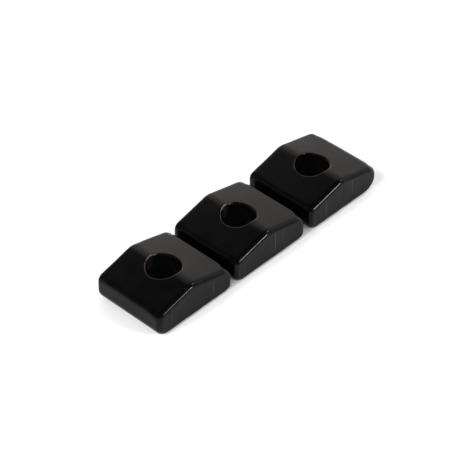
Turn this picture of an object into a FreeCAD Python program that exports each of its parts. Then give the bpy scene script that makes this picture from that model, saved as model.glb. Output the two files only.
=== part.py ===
"""Clamp block set: three loose steel blocks, each with a gabled top and one screw hole.

A block is a short length of bar, cut across. The bar's section is flat below, has two low side walls
with rounded corners, and rises in two slopes to a soft ridge that runs along the bar. A screw passes
down through the middle of the block and pulls the flat underside onto a pair of strings. The blocks
stand in a row, side wall to side wall, and nothing joins them: each is picked up on its own.

Units are millimetres. +X runs along the row, +Y along each block's ridge, and +Z is up. The origin is
under the middle of the row, on the surface that the blocks stand on.
"""

import FreeCAD
import Part

import math
import os

# The bar's section, seen along the ridge. Wall heights are up to the sharp corner with the slope.
SECTION_LENGTH = 12.5
FRONT_WALL_HEIGHT = 3.5
REAR_WALL_HEIGHT = 3.35
RIDGE_HEIGHT = 5.0
RIDGE_OFFSET = -0.42  # from the middle of the section, towards the front wall
FRONT_FOOT_RADIUS = 1.4
REAR_FOOT_RADIUS = 1.2
REAR_TOP_RADIUS = 1.25
RIDGE_RADIUS = 2.6
FRONT_TOP_RADIUS = 0.8

# The length of bar in each block, and the easing around its two cut ends.
BLOCK_WIDTH = 10.65
END_EDGE_RADIUS = 0.6

# The hole clears an M4 screw. Its upper rim follows the two slopes.
HOLE_RADIUS = 2.15
HOLE_X = -0.27  # from the middle of the section, towards the front wall
HOLE_Y = -0.12  # from the middle of the width
RIM_RADIUS = 0.25

# The gaps between the blocks as they stand in the row.
GAP_LEFT = 0.47
GAP_RIGHT = 0.89

HALF_SECTION = SECTION_LENGTH / 2
HALF_WIDTH = BLOCK_WIDTH / 2
ROW_END = (3 * SECTION_LENGTH + GAP_LEFT + GAP_RIGHT) / 2
BLOCK_CENTRES = {
    "clamp_block_left": -ROW_END + HALF_SECTION,
    "clamp_block_middle": -ROW_END + GAP_LEFT + 3 * HALF_SECTION,
    "clamp_block_right": ROW_END - HALF_SECTION,
}
TOLERANCE = 1e-6


def section_corners():
    """The sharp corners of the bar's section in order, each with the radius that rounds it."""
    return [
        (FreeCAD.Vector(-HALF_SECTION, 0, 0), FRONT_FOOT_RADIUS),
        (FreeCAD.Vector(HALF_SECTION, 0, 0), REAR_FOOT_RADIUS),
        (FreeCAD.Vector(HALF_SECTION, 0, REAR_WALL_HEIGHT), REAR_TOP_RADIUS),
        (FreeCAD.Vector(RIDGE_OFFSET, 0, RIDGE_HEIGHT), RIDGE_RADIUS),
        (FreeCAD.Vector(-HALF_SECTION, 0, FRONT_WALL_HEIGHT), FRONT_TOP_RADIUS),
    ]


def corner_arc(before, corner, after, radius):
    """The start, middle and end of the arc that rounds one corner, tangent to both of its sides."""
    to_before = (before - corner).normalize()
    to_after = (after - corner).normalize()
    half_angle = to_before.getAngle(to_after) / 2
    reach = radius / math.tan(half_angle)
    bisector = (to_before + to_after).normalize()
    middle = corner + bisector * (radius / math.sin(half_angle) - radius)
    return corner + to_before * reach, middle, corner + to_after * reach


def section_wire():
    """The section's closed outline: straight sides joined by tangent arcs."""
    corners = section_corners()
    count = len(corners)
    arcs = [
        corner_arc(corners[i - 1][0], corners[i][0], corners[(i + 1) % count][0], corners[i][1])
        for i in range(count)
    ]
    edges = []
    for i, (start, middle, end) in enumerate(arcs):
        edges.append(Part.Arc(start, middle, end).toShape())
        edges.append(Part.LineSegment(end, arcs[(i + 1) % count][0]).toShape())
    return Part.Wire(edges)


def end_edges(bar):
    """The edges around the bar's two cut ends."""
    return [
        edge
        for edge in bar.Edges
        if all(abs(abs(vertex.Y) - HALF_WIDTH) < TOLERANCE for vertex in edge.Vertexes)
        and edge.BoundBox.YLength < TOLERANCE
    ]


def bar_piece():
    """A length of bar with its cut ends eased all round, its ridge along Y."""
    bar = Part.Face(section_wire()).extrude(FreeCAD.Vector(0, BLOCK_WIDTH, 0))
    bar.translate(FreeCAD.Vector(0, -HALF_WIDTH, 0))
    return bar.makeFillet(END_EDGE_RADIUS, end_edges(bar))


def rim_edges(block):
    """The edges where the hole's wall meets the slopes above and the flat underside."""
    rims = []
    for edge in block.Edges:
        points = edge.discretize(9)
        on_wall = all(abs(math.hypot(p.x - HOLE_X, p.y - HOLE_Y) - HOLE_RADIUS) < 1e-3 for p in points)
        turns = edge.BoundBox.XLength + edge.BoundBox.YLength > HOLE_RADIUS / 10
        if on_wall and turns:
            rims.append(edge)
    return rims


def clamp_block():
    """One finished block, with the middle of its section on Z and its underside at height 0."""
    above = 1.0
    bore_start = FreeCAD.Vector(HOLE_X, HOLE_Y, -above)
    bore = Part.makeCylinder(HOLE_RADIUS, RIDGE_HEIGHT + 2 * above, bore_start)
    block = bar_piece().cut(bore)
    return block.makeFillet(RIM_RADIUS, rim_edges(block))


def main():
    os.makedirs("parts", exist_ok=True)
    block = clamp_block()
    for name, centre in BLOCK_CENTRES.items():
        placed = block.copy()
        placed.translate(FreeCAD.Vector(centre, 0, 0))
        placed.exportStep(f"parts/{name}.step")
        print(f"{name}: centre {centre:.3f}, volume {placed.Volume:.2f} mm3, valid {placed.isValid()}")


main()
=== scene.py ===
"""Looks for the clamp block set: three loose black-plated blocks, each with a gabled top and one hole.

Every block is built here as one closed mesh, worked out from the bar's section: the long faces and their
rounded corners, the rounded edges round both cut ends, the grooved cut ends, the hole with its rims, and
the slight unevenness that tumbling leaves. Lengths in the shape code are millimetres from the middle of
the block's underside, and the finished mesh is in metres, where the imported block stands.
"""

import math

import bmesh
import bpy
import numpy as np
from mathutils import Matrix, Vector


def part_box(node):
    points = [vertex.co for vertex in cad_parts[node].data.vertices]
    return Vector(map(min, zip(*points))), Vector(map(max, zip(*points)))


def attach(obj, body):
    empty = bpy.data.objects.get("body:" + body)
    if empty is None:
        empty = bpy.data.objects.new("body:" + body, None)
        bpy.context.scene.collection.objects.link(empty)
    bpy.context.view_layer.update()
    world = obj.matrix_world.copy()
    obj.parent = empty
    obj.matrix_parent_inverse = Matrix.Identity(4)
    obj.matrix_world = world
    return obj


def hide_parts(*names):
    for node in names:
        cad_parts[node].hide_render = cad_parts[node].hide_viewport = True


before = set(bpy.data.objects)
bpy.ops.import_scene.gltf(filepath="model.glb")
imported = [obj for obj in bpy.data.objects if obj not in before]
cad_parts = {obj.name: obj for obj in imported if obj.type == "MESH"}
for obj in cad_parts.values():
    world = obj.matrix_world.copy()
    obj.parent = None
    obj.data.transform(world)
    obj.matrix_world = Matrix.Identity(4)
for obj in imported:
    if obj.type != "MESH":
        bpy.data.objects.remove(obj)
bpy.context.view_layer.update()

MM = 0.001

# The bar's section. Wall heights are up to the sharp corner with the slope.
HALF_SECTION = 6.25
FRONT_WALL_HEIGHT = 3.5
RIDGE_HEIGHT = 5.0
RIDGE_OFFSET = -0.42
RIDGE_RADIUS = 2.6
HALF_WIDTH = 5.325
HOLE_RADIUS = 2.15
HOLE_PLACE = (-0.27, -0.12)  # from the middle of the block

# What tumbling left of each block's corners and edges, and a painted highlight on the hole's rim. The two
# top corners of the section are rounded more at the cut ends than along the block, so they have a radius for
# each: (along, at the ends). Bare spots are places on the hole's rim where the plating is thin, each as
# (angle in degrees, half its breadth in degrees, height below the rim, strength). The rim stretches are
# places on the hole's rim painted bright metal in the colour, a painted highlight where the light falls on
# the rim, each as (angle, half its breadth, strength).
# Scratches run down a cut end, each as (end, x, top, bottom, breadth, depth).
BLOCKS = {
    "left": {
        "seed": 11,
        "front_foot": 1.4,
        "rear_foot": 1.05,
        "rear_top": (1.3, 1.9),
        "front_top": (0.78, 1.05),
        "rear_wall": 3.27,
        "bare_spots": [(129, 8, 0.16, 0.8), (-46, 8, 0.16, 0.5)],
        # Painted highlight: a stretch of the hole's rim painted bright metal where the light falls on it.
        "painted_rim_highlights": [(97, 15, 0.6)],
        "scratches": [(-1, -4.1, 2.4, 1.4, 0.05, 0.007), (-1, 2.9, 3.3, 1.2, 0.06, 0.008)],
    },
    "middle": {
        "seed": 23,
        "front_foot": 1.4,
        "rear_foot": 1.06,
        "rear_top": (1.0, 1.7),
        "front_top": (0.78, 1.05),
        "rear_wall": 3.45,
        "bare_spots": [(-14, 9, 0.2, 0.35)],
        # Painted highlight: a stretch of the hole's rim painted bright metal where the light falls on it.
        "painted_rim_highlights": [(100, 15, 0.8)],
        "scratches": [(-1, 0.8, 4.3, 1.3, 0.07, 0.014), (-1, 2.1, 3.7, 2.0, 0.05, 0.008)],
    },
    "right": {
        "seed": 37,
        "front_foot": 1.4,
        "rear_foot": 1.95,
        "rear_top": (1.25, 1.6),
        "front_top": (0.78, 1.05),
        "rear_wall": 3.42,
        "bare_spots": [(-28, 9, 0.2, 0.35)],
        "painted_rim_highlights": [],
        "scratches": [(-1, -3.3, 3.3, 1.0, 0.06, 0.008), (-1, 1.6, 3.9, 1.8, 0.05, 0.007)],
    },
}
END_EDGE_RADIUS = {-1: 0.66, 1: 0.6}  # at the -Y end and at the +Y end
CROWN = 0.045  # how far the slopes fall away at the cut ends
RIM_RADIUS = 0.25
EDGE_UNEVENNESS = 0.07

# How finely each patch is divided.
PATCH_HALF = 3.3  # half the side of the square round the hole
PATCH_CELLS = 40
SLOPE_CELLS = 14
WALL_CELLS = 8
CORNER_CELLS = 12
EDGE_CELLS = 10
MARGIN_CELLS = 8
RIM_CELLS = 8
BORE_CELLS = 12
RING_CELLS = 14
END_COLUMNS = 280
END_ROWS = 12

# The light. Stops are (position, level there).
FLOOR_HALF = 3.0
FLOOR_GLOW = 0.1
WORLD_STRENGTH = 2.8
BRIGHTEST = 2.5  # the stops below are shares of this, before the strength
WINDOW_DIRECTION = (0.79, 0.517, 0.33)
WINDOW_STOPS = [
    (0.0, (0.26, 0.265, 0.29)),
    (0.55, (0.24, 0.245, 0.27)),
    (0.65, (0.25, 0.255, 0.28)),
    (0.71, (0.52, 0.52, 0.53)),
    (0.8, (0.85, 0.83, 0.81)),
    (0.9, (1.22, 1.17, 1.12)),
    (1.0, (1.08, 1.03, 0.99)),
]
BEHIND_STOPS = [(0.3, 0.4), (0.46, 0.64), (0.56, 1.0)]
SIDE_STOPS = [(0.5, 0.0), (0.7, 0.62), (0.82, 0.75), (0.93, 0.9), (0.97, 2.2), (1.0, 2.4)]
LOW_STOPS = [(0.0, 1.0), (0.04, 1.0), (0.13, 0.35), (0.32, 0.15), (0.4, 0.0)]
FRONT_DIRECTION = (0.2, -0.97, 0.1)
FRONT_STOPS = [(0.72, 1.0), (0.9, 0.3), (1.0, 0.12)]
# Two small lights that show as the thin highlights on rounded edges: (direction, size, watts).
KEYS = [((0.34, -0.87, 0.34), (0.17, 0.1), 1.25), ((0.6, -0.25, 0.76), (0.11, 0.11), 0.4)]
KEY_DISTANCE = 0.6
# Soft fill that lights the floor and stays out of the reflections: (direction, watts).
FILLS = [((-0.8, 0.1, 0.55), 9.8), ((0.15, -0.85, 0.5), 1.9)]
FILL_DISTANCE = 1.0
FILL_SIZE = (0.7, 0.7)

# The camera: azimuth and elevation in degrees, distance and target in metres, and lens in millimetres.
CAMERA = (-46.374, 40.941, 0.267465, (0.000591, 0.002529, 0), 169.0)

# ---------------------------------------------------------------------------------------------- shape


def section_corners(block, at_end):
    """The sharp corners of the section as (x, z), each with its radius, anticlockwise from the front."""
    return [
        ((-HALF_SECTION, 0.0), block["front_foot"]),
        ((HALF_SECTION, 0.0), block["rear_foot"]),
        ((HALF_SECTION, block["rear_wall"]), block["rear_top"][at_end]),
        ((RIDGE_OFFSET, RIDGE_HEIGHT), RIDGE_RADIUS),
        ((-HALF_SECTION, FRONT_WALL_HEIGHT), block["front_top"][at_end]),
    ]


def corner_round(before, corner, after, radius):
    """The centre of a corner's arc, and where it starts and ends."""
    before, corner, after = (np.array(p, float) for p in (before, corner, after))
    to_before = (before - corner) / np.linalg.norm(before - corner)
    to_after = (after - corner) / np.linalg.norm(after - corner)
    half_angle = math.acos(float(to_before @ to_after)) / 2
    reach = radius / math.tan(half_angle)
    bisector = (to_before + to_after) / np.linalg.norm(to_before + to_after)
    centre = corner + bisector * radius / math.sin(half_angle)
    return centre, corner + to_before * reach, corner + to_after * reach


class Section:
    """The rounded section of one block: its outline, its upper surface, and the normals of both."""

    def __init__(self, block, at_end=False):
        corners = section_corners(block, at_end)
        self.rear_wall = block["rear_wall"]
        self.rounds = []
        for i, (corner, radius) in enumerate(corners):
            before, after = corners[i - 1][0], corners[(i + 1) % len(corners)][0]
            self.rounds.append((*corner_round(before, corner, after, radius), radius))

    def top(self, x):
        """Height and slope of the upper surface at x, between the two top corners."""
        centre, rear_end, front_end, radius = self.rounds[3]
        rear_slope = (RIDGE_HEIGHT - self.rear_wall) / (RIDGE_OFFSET - HALF_SECTION)
        front_slope = (RIDGE_HEIGHT - FRONT_WALL_HEIGHT) / (RIDGE_OFFSET + HALF_SECTION)
        x = np.asarray(x, float)
        across = np.clip(x - centre[0], -0.9 * radius, 0.9 * radius)
        drop = np.sqrt(radius**2 - across**2)
        height = np.where(
            x > rear_end[0],
            RIDGE_HEIGHT + rear_slope * (x - RIDGE_OFFSET),
            np.where(
                x < front_end[0],
                RIDGE_HEIGHT + front_slope * (x - RIDGE_OFFSET),
                centre[1] + drop,
            ),
        )
        slope = np.where(
            x > rear_end[0],
            rear_slope,
            np.where(x < front_end[0], front_slope, -across / drop),
        )
        return height, slope

    def arc(self, index):
        """Points and outward normals round one corner, its ends included."""
        centre, start, end, _ = self.rounds[index]
        first = math.atan2(*(start - centre)[::-1])
        turn = (math.atan2(*(end - centre)[::-1]) - first) % (2 * math.pi)
        angles = first + turn * np.linspace(0, 1, CORNER_CELLS + 1)
        normals = np.stack([np.cos(angles), np.sin(angles)], 1)
        return centre + normals * np.linalg.norm(start - centre), normals

    def outline(self):
        """Points and outward normals round the section, anticlockwise, with the indices at which the
        bottom patch and the top patch start."""
        inner = HOLE_PLACE[0] + np.linspace(-PATCH_HALF, PATCH_HALF, PATCH_CELLS + 1)
        points, normals = [], []

        def add(more, facing):
            points.extend(more)
            normals.extend(facing)

        def add_level(xs):
            add([(x, 0.0) for x in xs], [(0.0, -1.0)] * len(xs))

        def add_top(xs):
            height, slope = self.top(xs)
            length = np.hypot(1, slope)
            add(zip(xs, height), np.stack([-slope / length, 1 / length], 1))

        front_foot, rear_foot, rear_top, front_top = (self.arc(i) for i in (0, 1, 2, 4))
        add(*front_foot)
        add_level(spaced(front_foot[0][-1][0], inner[0], SLOPE_CELLS)[1:-1])
        bottom_start = len(points)
        add_level(inner)
        add_level(spaced(inner[-1], rear_foot[0][0][0], SLOPE_CELLS)[1:-1])
        add(*rear_foot)
        add_wall(points, normals, rear_foot[0][-1], rear_top[0][0], (1.0, 0.0))
        add(*rear_top)
        add_top(spaced(rear_top[0][-1][0], inner[-1], SLOPE_CELLS)[1:-1])
        top_start = len(points)
        add_top(inner[::-1])
        add_top(spaced(inner[0], front_top[0][0][0], SLOPE_CELLS)[1:-1])
        add(*front_top)
        add_wall(points, normals, front_top[0][-1], front_foot[0][0], (-1.0, 0.0))
        return np.array(points, float), np.array(normals, float), bottom_start, top_start


def spaced(start, end, cells):
    return np.linspace(start, end, cells + 1)


def add_wall(points, normals, start, end, facing):
    heights = spaced(start[1], end[1], WALL_CELLS)[1:-1]
    points.extend((start[0], z) for z in heights)
    normals.extend([facing] * len(heights))


class Shell:
    """One block's surface, gathered patch by patch. Borders that patches share are merged at the end."""

    def __init__(self):
        self.points = []
        self.faces = []

    def add_points(self, points):
        first = len(self.points)
        self.points.extend(map(tuple, points))
        return first

    def add_grid(self, grid, closed=False, skipped=None):
        """grid is rows of points; closed joins each row's end to its start."""
        rows, columns = grid.shape[:2]
        first = self.add_points(grid.reshape(-1, 3))
        for i in range(rows - 1):
            for j in range(columns if closed else columns - 1):
                if skipped is not None and skipped(i, j):
                    continue
                k = (j + 1) % columns
                low, high = first + i * columns, first + (i + 1) * columns
                self.faces.append((low + j, low + k, high + k, high + j))

    def add_band(self, outer, inner):
        """Triangles between two closed loops of different counts, both running the same way round."""
        first_outer, first_inner = self.add_points(outer), self.add_points(inner)
        middle = inner.mean(0)

        def angles(loop):
            return np.arctan2(loop[:, 2] - middle[2], loop[:, 0] - middle[0])

        around_outer, around_inner = angles(outer), angles(inner)
        start = int(np.argmin(np.abs(np.angle(np.exp(1j * (around_outer - around_inner[0]))))))
        order = np.roll(np.arange(len(outer)), -start)
        outer_at = np.unwrap(around_outer[order])
        inner_at = np.unwrap(around_inner)
        outer_at += round((inner_at[0] - outer_at[0]) / (2 * math.pi)) * 2 * math.pi
        turn = math.copysign(2 * math.pi, inner_at[-1] - inner_at[0])
        outer_at = np.append(outer_at, outer_at[0] + turn) * math.copysign(1, turn)
        inner_at = np.append(inner_at, inner_at[0] + turn) * math.copysign(1, turn)
        i = j = 0
        while i < len(outer) or j < len(inner):
            a = first_outer + order[i % len(outer)]
            b = first_inner + j % len(inner)
            outer_next = i < len(outer) and (
                j == len(inner) or outer_at[i + 1] < inner_at[j + 1]
            )
            if outer_next:
                i += 1
                self.faces.append((a, first_outer + order[i % len(outer)], b))
            else:
                j += 1
                self.faces.append((a, first_inner + j % len(inner), b))

    def welded(self):
        """Points with duplicates merged, and the faces that use them."""
        points = np.array(self.points, float)
        keys = np.round(points / 1e-5).astype(np.int64)
        _, kept, index = np.unique(keys, axis=0, return_index=True, return_inverse=True)
        index = index.reshape(-1)
        faces = [tuple(int(index[v]) for v in face) for face in self.faces]
        return points[kept], faces


def waves(places, seed, length, count=9):
    """A smooth uneven field from 0 to 1 over places, whose swells are about length apart."""
    random = np.random.default_rng(seed)
    places = np.asarray(places, float)
    total = np.zeros(len(places))
    for _ in range(count):
        direction = random.normal(size=places.shape[1])
        direction /= np.linalg.norm(direction)
        pitch = length * random.uniform(0.7, 1.5)
        total += np.cos(2 * math.pi * places @ direction / pitch + random.uniform(0, 2 * math.pi))
    return 0.5 + 0.5 * np.tanh(total / math.sqrt(count))


def edge_radii(outline, side, seed):
    """How far each point of the section is rounded over at one cut end."""
    return END_EDGE_RADIUS[side] - EDGE_UNEVENNESS * waves(outline, seed + side, 3.0)


def cut_marks(x, z, block, end):
    """Depth of the cutter's grooves at places on a cut end: fine close lines and a few deeper ones."""
    random = np.random.default_rng(block["seed"] * 10 + end)
    lean = random.uniform(-0.03, 0.03)
    across = x + lean * (z - 2) + 0.02 * np.sin(2.1 * z + random.uniform(0, 6))
    depth = np.zeros_like(x)
    for pitch, share in ((1.1, 0.0016), (0.47, 0.0014), (0.26, 0.0011), (0.17, 0.0007)):
        for _ in range(3):
            own = pitch * random.uniform(0.8, 1.25)
            swell = 0.6 + 0.4 * np.sin(z * random.uniform(0.6, 1.6) + random.uniform(0, 6))
            depth += share * swell * (1 + np.cos(2 * math.pi * across / own + random.uniform(0, 6))) / 2
    for _ in range(26):
        middle = random.uniform(-6, 6)
        breadth = random.uniform(0.05, 0.1)
        low, high = np.sort(random.uniform(-0.5, 5.0, 2))
        reach = 1 / (1 + np.exp((low - z) / 0.15)) / (1 + np.exp((z - high) / 0.15))
        depth += random.uniform(0.002, 0.006) * reach * np.exp(-(((across - middle) / breadth) ** 2))
    for mark in block["scratches"]:
        depth += mark[5] * scratch_mask(x, z, mark, end)
    return depth


def scratch_mask(x, z, mark, end):
    """How much of one scratch, from 0 to 1, is at places on a cut end."""
    side, middle, top, bottom, breadth, _ = mark
    if (side > 0) != bool(end):
        return np.zeros_like(x)
    reach = 1 / (1 + np.exp((bottom - z) / 0.12)) / (1 + np.exp((z - top) / 0.12))
    return reach * np.exp(-(((x - middle - 0.015 * (z - bottom)) / breadth) ** 2))


def rim_profile(section, angle, radius):
    """The hole's upper rim in the plane at this angle: from the wall to where it meets the surface."""
    meets = HOLE_RADIUS + radius
    for _ in range(6):
        height, slope = section.top(HOLE_PLACE[0] + meets * math.cos(angle))
        rise = math.atan(float(slope) * math.cos(angle))
        meets = HOLE_RADIUS + radius * (1 - math.sin(rise))
    centre_height = float(height) - radius * math.cos(rise)
    turns = np.linspace(math.pi, math.pi / 2 + rise, RIM_CELLS + 1)
    out = HOLE_RADIUS + radius + radius * np.cos(turns)
    return out, centre_height + radius * np.sin(turns)


def square_border(half, cells):
    """Points round a square, anticlockwise from its lower left corner, without the repeated last one."""
    side = spaced(-half, half, cells)[:-1]
    return np.concatenate(
        [
            np.stack([side, np.full(cells, -half)], 1),
            np.stack([np.full(cells, half), side], 1),
            np.stack([-side, np.full(cells, half)], 1),
            np.stack([np.full(cells, -half), -side], 1),
        ]
    )


def add_hole(shell, section, block):
    """The hole's wall and rims, and the surface round it out to the square patch, above and below."""
    border = square_border(PATCH_HALF, PATCH_CELLS)
    angles = np.arctan2(border[:, 1], border[:, 0])
    directions = np.stack([np.cos(angles), np.sin(angles)], 1)
    radii = RIM_RADIUS * (0.8 + 0.35 * waves(directions, block["seed"] + 5, 1.6))
    columns = []
    for place, direction, angle, radius in zip(border, directions, angles, radii):
        out, height = rim_profile(section, angle, radius)
        rim = [(*(direction * r), z) for r, z in zip(out, height)]
        share = np.linspace(0, 1, RING_CELLS + 1)[1:] ** 1.25
        flat = direction * out[-1] + share[:, None] * (place - direction * out[-1])
        above = np.column_stack([flat, section.top(HOLE_PLACE[0] + flat[:, 0])[0]])
        turns = np.linspace(math.pi / 2, 0, RIM_CELLS + 1)
        low_out = HOLE_RADIUS + radius * (1 - np.cos(math.pi / 2 - turns))
        low_height = radius * (1 - np.sin(math.pi / 2 - turns))
        low_rim = [(*(direction * r), z) for r, z in zip(low_out[::-1], low_height[::-1])]
        low_flat = direction * low_out[-1] + share[:, None] * (place - direction * low_out[-1])
        below = np.column_stack([low_flat, np.zeros(len(low_flat))])[::-1]
        wall_heights = spaced(low_rim[-1][2], rim[0][2], BORE_CELLS)[1:-1]
        wall = [(*(direction * HOLE_RADIUS), z) for z in wall_heights]
        columns.append(np.vstack([below, low_rim, wall, rim, above]))
    grid = np.stack(columns, 1)
    grid[..., 0] += HOLE_PLACE[0]
    grid[..., 1] += HOLE_PLACE[1]
    shell.add_grid(grid, closed=True)


def add_end(shell, loop, block, side):
    """A cut end: the flat face inside its rounded edge, in fine upright columns that carry the grooves."""
    inset = 0.05
    left, right = loop[:, 0].min() + inset, loop[:, 0].max() - inset
    xs = spaced(left, right, END_COLUMNS)
    low, high = (
        np.array([crossing(loop, x, upper) for x in xs]) for upper in (False, True)
    )
    share = np.linspace(0, 1, END_ROWS + 1)[:, None]
    heights = (low + inset) * (1 - share) + (high - inset) * share
    across = np.tile(xs, (END_ROWS + 1, 1))
    to_border = np.minimum.reduce(
        [across - left, right - across, heights - low - inset, high - inset - heights]
    )
    fade = 0.25 + 0.75 * np.clip(to_border / 0.25, 0, 1)
    depth = fade * cut_marks(across.ravel(), heights.ravel(), block, side > 0).reshape(across.shape)
    grid = np.stack([across, side * (HALF_WIDTH - depth), heights], 2)
    shell.add_grid(grid)
    border = np.vstack([grid[0], grid[1:, -1], grid[-1, -2::-1], grid[-2:0:-1, 0]])
    shell.add_band(loop, border)


def crossing(loop, x, upper):
    """Height at which a closed convex loop crosses the upright line at x, on its upper or lower side."""
    a, b = loop, np.roll(loop, -1, 0)
    spans = (np.minimum(a[:, 0], b[:, 0]) <= x) & (np.maximum(a[:, 0], b[:, 0]) >= x)
    a, b = a[spans], b[spans]
    width = np.where(np.abs(b[:, 0] - a[:, 0]) < 1e-9, 1e-9, b[:, 0] - a[:, 0])
    heights = a[:, 2] + np.clip((x - a[:, 0]) / width, 0, 1) * (b[:, 2] - a[:, 2])
    return heights.max() if upper else heights.min()


def block_shell(block):
    """The whole surface of one block, in millimetres from the middle of its underside."""
    section = Section(block)
    along, _, bottom_start, top_start = section.outline()
    outline, normals, _, _ = Section(block, at_end=True).outline()
    radii = {side: edge_radii(outline, side, block["seed"]) for side in (-1, 1)}
    shell = Shell()
    inner = HOLE_PLACE[1] + spaced(-PATCH_HALF, PATCH_HALF, PATCH_CELLS)
    turns = np.linspace(0, math.pi / 2, EDGE_CELLS + 1)[1:]
    rows = []
    for turn in turns[::-1]:
        rows.append(edge_row(outline, normals, radii[-1], turn, -1))
    for share in spaced(0, 1, MARGIN_CELLS)[:-1]:
        y = -(HALF_WIDTH - radii[-1]) * (1 - share) + inner[0] * share
        rows.append(blended_row(outline, along, share, y))
    for y in inner:
        rows.append(blended_row(outline, along, 1, np.full(len(outline), y)))
    for share in spaced(0, 1, MARGIN_CELLS)[1:]:
        y = inner[-1] * (1 - share) + (HALF_WIDTH - radii[1]) * share
        rows.append(blended_row(outline, along, 1 - share, y))
    for turn in turns:
        rows.append(edge_row(outline, normals, radii[1], turn, 1))
    grid = np.stack(rows)
    first_row = EDGE_CELLS + MARGIN_CELLS

    def skipped(i, j):
        in_width = first_row <= i < first_row + PATCH_CELLS
        in_patch = any(start <= j < start + PATCH_CELLS for start in (bottom_start, top_start))
        return in_width and in_patch

    shell.add_grid(grid, closed=True, skipped=skipped)
    add_hole(shell, section, block)
    add_end(shell, grid[0], block, -1)
    add_end(shell, grid[-1], block, 1)
    return shell


def blended_row(at_end, along, share, y):
    """A section at y between the one at the cut end, at share 0, and the one along the block, at 1."""
    share = smooth_step(share, 0, 1)
    flat = at_end + (along - at_end) * share
    return np.column_stack([flat[:, 0], y, flat[:, 1]])


def edge_row(outline, normals, radii, turn, side):
    """The section where the rounded edge has turned this far over towards a cut end."""
    inset = radii * (1 - math.cos(turn))
    flat = outline - normals * inset[:, None]
    y = side * (HALF_WIDTH - radii * (1 - math.sin(turn)))
    return np.column_stack([flat[:, 0], y, flat[:, 1]])


def build_block(name, block, centre, material):
    """Makes the block's mesh in the row frame, and checks that it is closed."""
    points, faces = block_shell(block).welded()
    mesh = bpy.data.meshes.new(name)
    mesh.from_pydata((points * MM).tolist(), [], faces)
    made = bmesh.new()
    made.from_mesh(mesh)
    bmesh.ops.recalc_face_normals(made, faces=made.faces)
    open_edges = sum(not edge.is_manifold for edge in made.edges)
    if open_edges:
        raise RuntimeError(f"{name} has {open_edges} open edges")
    made.normal_update()
    normals = np.array([vertex.normal for vertex in made.verts])
    soften(made, block)
    for face in made.faces:
        face.smooth = True
    made.to_mesh(mesh)
    made.free()
    for mask, values in masks(points, normals, block).items():
        mesh.attributes.new(mask, "FLOAT", "POINT").data.foreach_set("value", values.astype(np.float32))
    mesh.transform(Matrix.Translation(Vector((centre, 0, 0))))
    mesh.materials.append(material)
    piece = bpy.data.objects.new(name, mesh)
    bpy.context.scene.collection.objects.link(piece)
    return piece


def soften(made, block):
    """Tumbling leaves no face quite flat. Every face but the underside sinks by a few thousandths of a
    millimetre, and the slopes fall away a little more towards the cut ends."""
    places = np.array([vertex.co for vertex in made.verts]) / MM
    depth = 0.006 * waves(places, block["seed"] + 1, 4.5) + 0.0022 * waves(places, block["seed"] + 2, 1.6)
    upward = np.clip([vertex.normal.z for vertex in made.verts], 0, 1)
    depth += CROWN * upward * np.abs(places[:, 1] / HALF_WIDTH) ** 2.5
    depth *= np.clip((places[:, 2] - 0.1) / 0.8, 0, 1)
    for vertex, sunk in zip(made.verts, depth):
        vertex.co -= vertex.normal * (sunk * MM)


def smooth_step(value, low, high):
    share = np.clip((value - low) / (high - low), 0, 1)
    return share * share * (3 - 2 * share)


def masks(points, normals, block):
    """Where the surface is cut, worn, bare and scratched, and where a highlight is painted on the hole's
    rim, each from 0 to 1 at every vertex.
    """
    x, y, z = points.T
    seed = block["seed"]
    cut = smooth_step(np.abs(normals[:, 1]), 0.93, 0.995)
    patches = waves(points, seed + 7, 1.1)
    turned = np.abs(normals[:, 1])
    on_edge = smooth_step(turned, 0.25, 0.6) * (1 - smooth_step(turned, 0.8, 0.96)) * (np.abs(y) > 4.4)
    on_corner = smooth_step(-normals[:, 0], 0.45, 0.7) * (1 - smooth_step(-normals[:, 0], 0.8, 0.95))
    radius = np.hypot(x - HOLE_PLACE[0], y - HOLE_PLACE[1])
    on_corner *= (z > 2) & (radius > 3)
    on_rim = np.exp(-(((radius - HOLE_RADIUS - 0.09) / 0.09) ** 2)) * (z > 3)
    worn = np.maximum.reduce(
        [0.8 * on_edge * patches, 0.5 * on_corner * patches, on_rim * (0.4 + 0.6 * patches)]
    )
    bare = np.zeros(len(points))
    around = np.degrees(np.arctan2(y - HOLE_PLACE[1], x - HOLE_PLACE[0]))
    section = Section(block)
    rim_height = section.top(x)[0] - 0.1
    for middle, breadth, depth, strength in block["bare_spots"]:
        off = (around - middle + 180) % 360 - 180
        near = (np.abs(radius - HOLE_RADIUS) < 0.2) & (z > 3)
        spot = np.exp(-((off / breadth) ** 2)) * np.exp(-(((rim_height - z) / depth) ** 2)) * near
        bare = np.maximum(bare, strength * spot)
    # Real scratches on the cut ends, and below them a painted highlight on stretches of the hole's rim, in
    # one mask.
    scratched_and_painted_highlight = np.zeros(len(points))
    for mark in block["scratches"]:
        for end in (0, 1):
            on_end = (y > 0) == bool(end)
            scratched_and_painted_highlight = np.maximum(scratched_and_painted_highlight, 0.25 * cut * on_end * scratch_mask(x, z, mark, end))
    # Painted highlight: stretches of the hole's rim are set bright where the light falls on the rim.
    for middle, breadth, strength in block["painted_rim_highlights"]:
        off = (around - middle + 180) % 360 - 180
        band = np.exp(-(((radius - HOLE_RADIUS - 0.1) / 0.07) ** 2)) * (z > 3)
        scratched_and_painted_highlight = np.maximum(scratched_and_painted_highlight, strength * band * np.exp(-((off / breadth) ** 4)))
    return {"cut": cut, "worn": worn, "bare": bare, "scratched_and_painted_highlight": scratched_and_painted_highlight}


# ------------------------------------------------------------------------------------------- material


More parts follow.
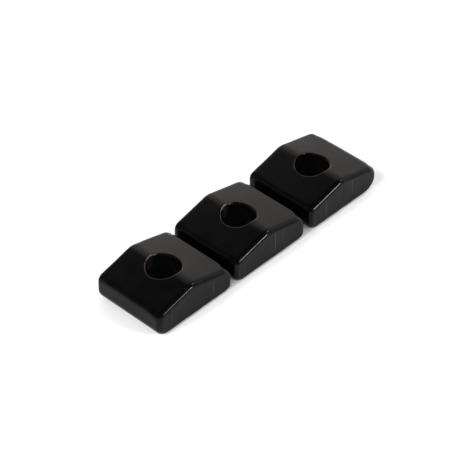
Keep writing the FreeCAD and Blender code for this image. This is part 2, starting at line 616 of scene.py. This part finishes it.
class Nodes:
    """Short names for the nodes that a material is made of."""

    def __init__(self, tree):
        self.tree = tree

    def add(self, kind, **settings):
        node = self.tree.nodes.new(kind)
        for name, value in settings.items():
            setattr(node, name, value)
        return node

    def link(self, source, target):
        self.tree.links.new(source, target)

    def noise(self, coordinates, scale, detail=3.0, roughness=0.5, stretch=None):
        """Noise whose features are about 1/scale apart, in metres."""
        node = self.add("ShaderNodeTexNoise")
        node.inputs["Scale"].default_value = scale
        node.inputs["Detail"].default_value = detail
        node.inputs["Roughness"].default_value = roughness
        if stretch:
            mapping = self.add("ShaderNodeMapping")
            mapping.inputs["Scale"].default_value = stretch
            self.link(coordinates, mapping.inputs["Vector"])
            coordinates = mapping.outputs["Vector"]
        self.link(coordinates, node.inputs["Vector"])
        return node.outputs["Fac"]

    def attribute(self, name):
        return self.add("ShaderNodeAttribute", attribute_name=name).outputs["Fac"]

    def math(self, operation, first, second, third=None):
        node = self.add("ShaderNodeMath", operation=operation)
        for socket, value in zip(node.inputs, (first, second, third)):
            if value is None:
                continue
            if isinstance(value, (int, float)):
                socket.default_value = value
            else:
                self.link(value, socket)
        return node.outputs[0]

    def spread(self, value, low, high, to_low=0.0, to_high=1.0):
        node = self.add("ShaderNodeMapRange", interpolation_type="SMOOTHSTEP")
        for name, number in zip(("From Min", "From Max", "To Min", "To Max"), (low, high, to_low, to_high)):
            node.inputs[name].default_value = number
        self.link(value, node.inputs["Value"])
        return node.outputs["Result"]

    def mix(self, share, first, second):
        """A blend of two colours, either of which may be a fixed one."""
        node = self.add("ShaderNodeMix", data_type="RGBA")
        self.link(share, node.inputs[0])
        for socket, value in ((node.inputs[6], first), (node.inputs[7], second)):
            if isinstance(value, tuple):
                socket.default_value = value
            else:
                self.link(value, socket)
        return node.outputs[2]

    def bump(self, height, distance, normal=None):
        node = self.add("ShaderNodeBump")
        node.inputs["Strength"].default_value = 1.0
        node.inputs["Distance"].default_value = distance
        self.link(height, node.inputs["Height"])
        if normal is not None:
            self.link(normal, node.inputs["Normal"])
        return node.outputs["Normal"]


def black_plating():
    """Glossy black plating on steel: faint orange peel, handling haze, sawn ends, wear at the edges, and a
    painted highlight on the hole's rim.
    """
    material = bpy.data.materials.new("black_plating")
    material.use_nodes = True
    nodes = Nodes(material.node_tree)
    shader = material.node_tree.nodes["Principled BSDF"]
    place = nodes.add("ShaderNodeTexCoord").outputs["Object"]
    cut, worn, bare, scratched_and_painted_highlight = (nodes.attribute(n) for n in ("cut", "worn", "bare", "scratched_and_painted_highlight"))

    # Colour: nearly black, a little browner in patches, greyer where worn, bright metal in scratches and
    # as a painted highlight on stretches of the hole's rim, copper where the plating is thin.
    patches = nodes.spread(nodes.noise(place, 420, 4), 0.35, 0.7)
    plating = nodes.mix(patches, (0.0020, 0.0021, 0.0025, 1), (0.0044, 0.0040, 0.0037, 1))
    speckle = nodes.spread(nodes.noise(place, 5200, 3, 0.6), 0.42, 0.7)
    rubbed = nodes.math("MULTIPLY", worn, nodes.math("MULTIPLY_ADD", speckle, 0.75, 0.25))
    plating = nodes.mix(rubbed, plating, (0.022, 0.019, 0.017, 1))
    sawn = nodes.noise(place, 1, 4, 0.65, (6200, 6200, 220))
    lines = nodes.math("MULTIPLY", cut, nodes.spread(sawn, 0.5, 0.78))
    plating = nodes.mix(lines, plating, (0.009, 0.009, 0.009, 1))
    # Bright metal in the scratches on the cut ends, and a painted highlight on stretches of the hole's rim.
    plating = nodes.mix(scratched_and_painted_highlight, plating, (0.2, 0.19, 0.18, 1))
    copper = nodes.math("MULTIPLY", bare, nodes.math("MULTIPLY_ADD", speckle, 0.5, 0.5))
    plating = nodes.mix(copper, plating, (0.12, 0.032, 0.018, 1))
    nodes.link(plating, shader.inputs["Base Color"])

    # Roughness: a polished slope, hazier where it is handled, satin on the sawn ends.
    haze = nodes.spread(nodes.noise(place, 260, 5, 0.55), 0.3, 0.75, 0.15, 0.23)
    satin = nodes.spread(sawn, 0.3, 0.75, 0.32, 0.48)
    gloss = nodes.math("MULTIPLY", haze, nodes.math("SUBTRACT", 1.0, cut))
    gloss = nodes.math("MULTIPLY_ADD", satin, cut, gloss)
    gloss = nodes.math("MULTIPLY_ADD", rubbed, 0.14, gloss)
    nodes.link(gloss, shader.inputs["Roughness"])

    # Bump: orange peel all over, fine grit in it, and the saw's upright lines on the ends.
    peel = nodes.bump(nodes.noise(place, 1900, 2, 0.45), 1.1e-6)
    grit = nodes.bump(nodes.noise(place, 9000, 2, 0.5), 2.6e-7, peel)
    saw = nodes.bump(nodes.math("MULTIPLY", sawn, cut), 7.0e-6, grit)
    nodes.link(saw, shader.inputs["Normal"])

    shader.inputs["IOR"].default_value = 1.36
    return material


# ---------------------------------------------------------------------------------------------- stage


def make_floor():
    mesh = bpy.data.meshes.new("floor")
    half = FLOOR_HALF
    corners = [(-half, -half, 0), (half, -half, 0), (half, half, 0), (-half, half, 0)]
    mesh.from_pydata(corners, [], [(0, 1, 2, 3)])
    floor = bpy.data.objects.new("floor", mesh)
    bpy.context.scene.collection.objects.link(floor)
    material = bpy.data.materials.new("backlit_sheet")
    material.use_nodes = True
    shader = material.node_tree.nodes["Principled BSDF"]
    shader.inputs["Base Color"].default_value = (0.8, 0.8, 0.8, 1)
    shader.inputs["Roughness"].default_value = 1.0
    shader.inputs["Specular IOR Level"].default_value = 0.0
    shader.inputs["Emission Color"].default_value = (1, 1, 1, 1)
    shader.inputs["Emission Strength"].default_value = FLOOR_GLOW
    mesh.materials.append(material)


def make_world():
    """A tent: white low down, dim overhead, a broad pale window behind on the right, dark in front."""
    world = bpy.data.worlds.new("tent")
    bpy.context.scene.world = world
    world.use_nodes = True
    nodes = Nodes(world.node_tree)
    background = world.node_tree.nodes["Background"]
    place = nodes.add("ShaderNodeTexCoord").outputs["Generated"]

    def towards(direction):
        node = nodes.add("ShaderNodeVectorMath", operation="DOT_PRODUCT")
        nodes.link(place, node.inputs[0])
        node.inputs[1].default_value = Vector(direction).normalized()
        return node.outputs["Value"]

    def ramp(value, stops, whole=1.0):
        node = nodes.add("ShaderNodeValToRGB")
        elements = node.color_ramp.elements
        while len(elements) < len(stops):
            elements.new(0.5)
        for element, (position, level) in zip(elements, stops):
            colour = level if isinstance(level, tuple) else (level,) * 3
            element.position = position
            element.color = (*[c / whole for c in colour], 1)
        nodes.link(value, node.inputs["Fac"])
        return node.outputs["Color"]

    def combine(blend, first, second):
        node = nodes.add("ShaderNodeMix", data_type="RGBA", blend_type=blend)
        node.inputs[0].default_value = 1.0
        nodes.link(first, node.inputs[6])
        nodes.link(second, node.inputs[7])
        return node.outputs[2]

    split = nodes.add("ShaderNodeSeparateXYZ")
    nodes.link(place, split.inputs[0])
    window = ramp(towards(WINDOW_DIRECTION), WINDOW_STOPS, BRIGHTEST)
    window = combine("MULTIPLY", window, ramp(split.outputs["Y"], BEHIND_STOPS))
    side = ramp(split.outputs["X"], SIDE_STOPS, BRIGHTEST)
    low = ramp(split.outputs["Z"], LOW_STOPS, BRIGHTEST)
    lit = combine("LIGHTEN", combine("LIGHTEN", window, side), low)
    lit = combine("MULTIPLY", lit, ramp(towards(FRONT_DIRECTION), FRONT_STOPS))
    nodes.link(lit, background.inputs["Color"])
    background.inputs["Strength"].default_value = WORLD_STRENGTH


def make_softbox(name, direction, distance, size, watts):
    light = bpy.data.lights.new(name, "AREA")
    light.shape = "RECTANGLE"
    light.size, light.size_y = size
    light.energy = watts
    box = bpy.data.objects.new(name, light)
    bpy.context.scene.collection.objects.link(box)
    away = Vector(direction).normalized()
    box.location = away * distance
    box.rotation_mode = "QUATERNION"
    box.rotation_quaternion = away.to_track_quat("Z", "Y")
    return box


def make_camera(azimuth, elevation, distance, target, lens):
    data = bpy.data.cameras.new("camera")
    data.lens = lens
    data.sensor_width = 36
    data.clip_start, data.clip_end = 0.01, 20
    camera = bpy.data.objects.new("camera", data)
    bpy.context.scene.collection.objects.link(camera)
    a, e = math.radians(azimuth), math.radians(elevation)
    back = Vector((math.sin(a) * math.cos(e), -math.cos(a) * math.cos(e), math.sin(e)))
    camera.location = Vector(target) + back * distance
    camera.rotation_mode = "QUATERNION"
    camera.rotation_quaternion = (-back).to_track_quat("-Z", "Y")
    bpy.context.scene.camera = camera


def main():
    material = black_plating()
    for side, block in BLOCKS.items():
        node = f"clamp_block_{side}"
        low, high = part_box(node)
        piece = build_block(f"{side}_block", block, (low.x + high.x) / 2, material)
        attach(piece, f"{side}_block")
        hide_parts(node)
    make_floor()
    make_world()
    for i, (direction, size, watts) in enumerate(KEYS):
        make_softbox(f"key_{i}", direction, KEY_DISTANCE, size, watts)
    for i, (direction, watts) in enumerate(FILLS):
        fill = make_softbox(f"fill_{i}", direction, FILL_DISTANCE, FILL_SIZE, watts)
        fill.visible_glossy = False
    make_camera(*CAMERA)
    view = bpy.context.scene.view_settings
    view.view_transform = "Standard"
    view.look = "High Contrast"


main()
